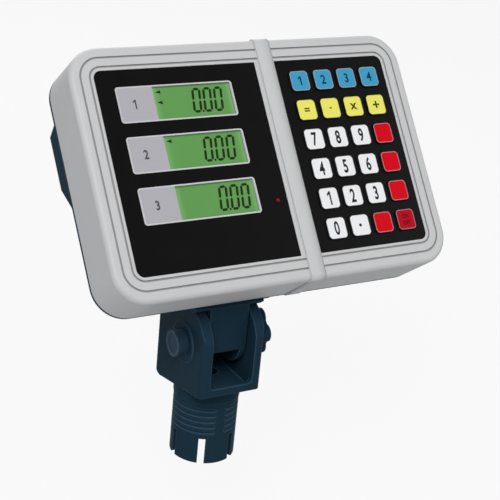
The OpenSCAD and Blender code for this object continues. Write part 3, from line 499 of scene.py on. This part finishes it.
white_cap = key_cap("key_white_cap", (0.96, 0.96, 0.96), (0.72, 0.72, 0.72), 0.4, gloss=0.4)
coloured_caps = {"blue": key_cap("key_blue_cap", (0.060, 0.374, 0.625), (0.42, 0.44, 0.48), 0.8),
                 "yellow": key_cap("key_yellow_cap", (0.96, 0.92, 0.163), (0.60, 0.58, 0.20), 0.4),
                 "red": key_cap("key_red_cap", (0.76, 0.0003, 0.010), (0.55, 0.30, 0.33), 0.8),
                 "power": key_cap("key_dark_cap", (0.52, 0.002, 0.015), (0.50, 0.26, 0.28), 0.8)}
for name in nodes:
    if name.startswith("key_") and name != "key_board":
        dress(name, coloured_caps.get(name.split("_")[1], white_cap))

black_ink = ink("black_ink", (0.015, 0.015, 0.017), (0.03, 0.03, 0.033))
blue_ink = ink("blue_ink", (0.008, 0.045, 0.11), (0.012, 0.055, 0.13))
olive_ink = ink("olive_ink", (0.07, 0.06, 0.012), (0.10, 0.09, 0.02))
red_ink = ink("red_ink", (0.13, 0.001, 0.006), (0.16, 0.002, 0.008))
key_marks = []
for column in range(4):
    key_marks.append(("key_blue_%d" % (column + 1), str(column + 1), column, 0, 6.4, 0.85, blue_ink, 1.0))
for column, (sign, height) in enumerate((("=", 2.6), ("-", 0.9), ("x", 4.4), ("+", 5.0))):
    key_marks.append(("key_yellow_%d" % (column + 1), sign, column, 1, height, 1.0, olive_ink, 1.0))
for row, figures in ((2, "789"), (3, "456"), (4, "123"), (5, "0")):
    for column, figure in enumerate(figures):
        key_marks.append(("key_" + figure, figure, column, row, 9.2, 0.62, black_ink, 1.0))
key_marks.append(("key_point", ".", 1, 5, 2.1, 1.0, black_ink, 1.0))
key_marks.append(("key_power", "ON\nOFF", 3, 5, 7.4, 0.85, red_ink, 1.15))
for name, words, column, row, height, squeeze, material, lines in key_marks:
    printed("mark_" + name, words, FIRST_KEY_X + KEY_PITCH_X * column, FIRST_KEY_Z - KEY_PITCH_Z * row,
            MARK_BEHIND, height, squeeze, material, name + "_body", lines)


# Circuit boards: glass-fibre boards in green lacquer over faint copper tracks, screwed to bosses
# inside the housing. They carry the displays, the keys' snap domes and the main electronics.
lacquer = Recipe(bpy.data.materials.new("board_lacquer"))
tracks = lacquer.clouds(head_vector(lacquer), 0.4, 1.0)
track = abs((tracks * 8.0).worked("FRACT") - 0.5).under(0.08)
lacquer.finish(lacquer.mix(track, rgb(0.01, 0.09, 0.04), rgb(0.03, 0.2, 0.09)), Roughness=0.35)
for name in ("display_board", "key_board", "main_board"):
    dress(name, lacquer.owner)


# Battery, gasket and sockets: black mouldings and rubber inside and on the rear cover.
# The cable gland and the power socket are nutted into the cover's lower edge.
black_plastic = moulded("black_plastic", (0.012, 0.012, 0.014), (0.02, 0.02, 0.022), 0.4, 0.25)
for name in ("battery", "cable_gland", "power_socket", "board_parts", "gasket"):
    dress(name, black_plastic)


# Rear cover, bracket, yoke and knob: mouldings in dark blue glass-filled plastic, matt, with a painted
# highlight that makes rounded edges a little paler. The cover closes the housing, the bracket is screwed
# to it, and the bracket's hollow tongue hangs between the ears of the yoke, which ends in the split insert
# for a pole.
navy_plastic = moulded("navy_plastic", (0.012, 0.034, 0.054), (0.016, 0.042, 0.065), 0.32, 0.015,
                       rounded=0.0017, edge_highlight=(0.065, 0.130, 0.190))
for name in ("rear_housing", "tilt_bracket", "pole_yoke", "clamp_knob"):
    dress(name, navy_plastic)


# Hinge bolt and battery door: the same plastic in a slightly glossier finish, both coloured a shade paler,
# which stands in for the bolt's highlight, and with a stronger painted highlight on rounded edges. The
# bolt's round head is a cap over the steel, and the door is held by two screws.
slate_plastic = moulded("slate_plastic", (0.024, 0.056, 0.088), (0.030, 0.068, 0.104), 0.3, 0.05,
                        rounded=0.0014, edge_highlight=(0.14, 0.24, 0.32))
for name in ("hinge_bolt", "battery_door"):
    dress(name, slate_plastic)


# Metal fittings: zinc-plated steel washers, screws, snap domes and data socket, with faint streaks
# from plating. The nut that is moulded into the knob is turned from brass.
def metal(name, colour, light, roughness):
    recipe = Recipe(bpy.data.materials.new(name))
    streaks = recipe.clouds(head_vector(recipe), 1.2, 5.0)
    return recipe.finish(recipe.mix(streaks, rgb(*colour), rgb(*light)), Metallic=1.0,
                         Roughness=roughness + (streaks - 0.5) * 0.2)


plated_steel = metal("plated_steel", (0.50, 0.50, 0.52), (0.66, 0.66, 0.68), 0.32)
for name in ("friction_washers", "door_screws", "housing_screws", "board_screws", "bracket_screws",
             "dome_sheet", "data_socket"):
    dress(name, plated_steel)
dress("knob_nut", metal("turned_brass", (0.60, 0.42, 0.16), (0.74, 0.55, 0.24), 0.3))


# Screws: pan heads with a cross recess, driven into the rear cover, bracket and battery door.
# Each kind is one tree's result: a turned head, less two slots, set on every seat and made one mesh.
COVER_SEAT, FLANGE_SEAT, DOOR_SEAT = 39.3, 42.0, 62.5
CORNER_SCREW_X, CORNER_SCREW_Z, DIVIDER_SCREW_Z = 106.0, 66.5, 72.5
FLANGE_SCREW_X, FLANGE_SCREW_ROWS = 28.4, (-71.0, -51.0)
DOOR_SCREW_X, DOOR_SCREW_Z = 54.0, 28.35
PAN_HEAD, SMALL_HEAD = (3.0, 1.8), (2.0, 1.2)
HEAD_CORNERS = 32
RECESS_WIDTH_SHARE, RECESS_DEPTH_SHARE = 0.28, 1.1
HEAD_EDGE, HEAD_EDGE_STEPS = 0.00025, 2


def socket_id(tree, name):
    return next(item.identifier for item in tree.interface.items_tree
                if item.item_type == "SOCKET" and item.in_out == "INPUT" and item.name == name)


def screw_tree():
    tree = bpy.data.node_groups.new("pan_head_screws", "GeometryNodeTree")
    for name, kind in (("Geometry", "Geometry"), ("Head radius", "Float"), ("Head height", "Float"),
                       ("Recess width", "Float"), ("Recess depth", "Float"), ("Turn", "Vector"),
                       ("Material", "Material")):
        tree.interface.new_socket(name, in_out="INPUT", socket_type="NodeSocket" + kind)
    tree.interface.new_socket("Geometry", in_out="OUTPUT", socket_type="NodeSocketGeometry")
    made, link = tree.nodes.new, tree.links.new
    given = made("NodeGroupInput").outputs
    head = made("GeometryNodeMeshCylinder")
    head.inputs["Vertices"].default_value = HEAD_CORNERS
    link(given["Head radius"], head.inputs["Radius"])
    link(given["Head height"], head.inputs["Depth"])
    half_height = made("ShaderNodeMath")
    half_height.operation = "MULTIPLY"
    half_height.inputs[1].default_value = 0.5
    link(given["Head height"], half_height.inputs[0])
    raised = made("ShaderNodeCombineXYZ")
    link(half_height.outputs[0], raised.inputs[2])
    seated = made("GeometryNodeTransform")
    link(head.outputs[0], seated.inputs["Geometry"])
    link(raised.outputs[0], seated.inputs["Translation"])
    recessed = made("GeometryNodeMeshBoolean")
    recessed.operation = "DIFFERENCE"
    link(seated.outputs[0], recessed.inputs[0])
    top = made("ShaderNodeCombineXYZ")
    link(given["Head height"], top.inputs[2])
    for long_side, short_side in ((0, 1), (1, 0)):
        size = made("ShaderNodeCombineXYZ")
        link(given["Head radius"], size.inputs[long_side])
        link(given["Recess width"], size.inputs[short_side])
        link(given["Recess depth"], size.inputs[2])
        slot = made("GeometryNodeMeshCube")
        link(size.outputs[0], slot.inputs["Size"])
        sunk = made("GeometryNodeTransform")
        link(slot.outputs[0], sunk.inputs["Geometry"])
        link(top.outputs[0], sunk.inputs["Translation"])
        link(sunk.outputs[0], recessed.inputs[1])
    turn = made("FunctionNodeEulerToRotation")
    link(given["Turn"], turn.inputs[0])
    driven = made("GeometryNodeInstanceOnPoints")
    link(given["Geometry"], driven.inputs["Points"])
    link(recessed.outputs[0], driven.inputs["Instance"])
    link(turn.outputs[0], driven.inputs["Rotation"])
    real = made("GeometryNodeRealizeInstances")
    link(driven.outputs[0], real.inputs[0])
    plated = made("GeometryNodeSetMaterial")
    link(real.outputs[0], plated.inputs["Geometry"])
    link(given["Material"], plated.inputs["Material"])
    link(plated.outputs[0], made("NodeGroupOutput").inputs[0])
    return tree


screws = screw_tree()
cover_seats = [(side * CORNER_SCREW_X, COVER_SEAT, end * CORNER_SCREW_Z)
               for side in (-1, 1) for end in (-1, 1)]
cover_seats += [(DIVIDER_X, COVER_SEAT, end * DIVIDER_SCREW_Z) for end in (-1, 1)]
flange_seats = [(side * FLANGE_SCREW_X - HEAD_ASIDE * PER_METRE, FLANGE_SEAT, row_z)
                for side in (-1, 1) for row_z in FLANGE_SCREW_ROWS]
door_seats = [(side * DOOR_SCREW_X, DOOR_SEAT, DOOR_SCREW_Z) for side in (-1, 1)]
for name, seats, (radius, height) in (("housing_screws", cover_seats, PAN_HEAD),
                                      ("bracket_screws", flange_seats, PAN_HEAD),
                                      ("door_screws", door_seats, SMALL_HEAD)):
    seat_points = bpy.data.meshes.new(name + "_heads")
    seat_points.from_pydata([HEAD_PLACE @ (Vector(seat) / PER_METRE) for seat in seats], [], [])
    draft = add_object(name + "_draft", seat_points)
    modifier = draft.modifiers.new("heads", "NODES")
    modifier.node_group = screws
    for input_name, value in (("Head radius", radius / PER_METRE),
                              ("Head height", height / PER_METRE),
                              ("Recess width", radius * RECESS_WIDTH_SHARE / PER_METRE),
                              ("Recess depth", height * RECESS_DEPTH_SHARE / PER_METRE),
                              ("Turn", (math.radians(-90.0) - TILT, 0.0, 0.0)),
                              ("Material", plated_steel)):
        modifier[socket_id(screws, input_name)] = value
    bpy.context.view_layer.update()
    heads = bpy.data.meshes.new_from_object(draft.evaluated_get(bpy.context.evaluated_depsgraph_get()))
    bpy.data.objects.remove(draft)
    piece = add_object(name + "_heads", heads)
    edge = piece.modifiers.new("edge", "BEVEL")
    edge.width = HEAD_EDGE
    edge.segments = HEAD_EDGE_STEPS
    edge.limit_method = "ANGLE"
    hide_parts(name)
    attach(piece, "head")
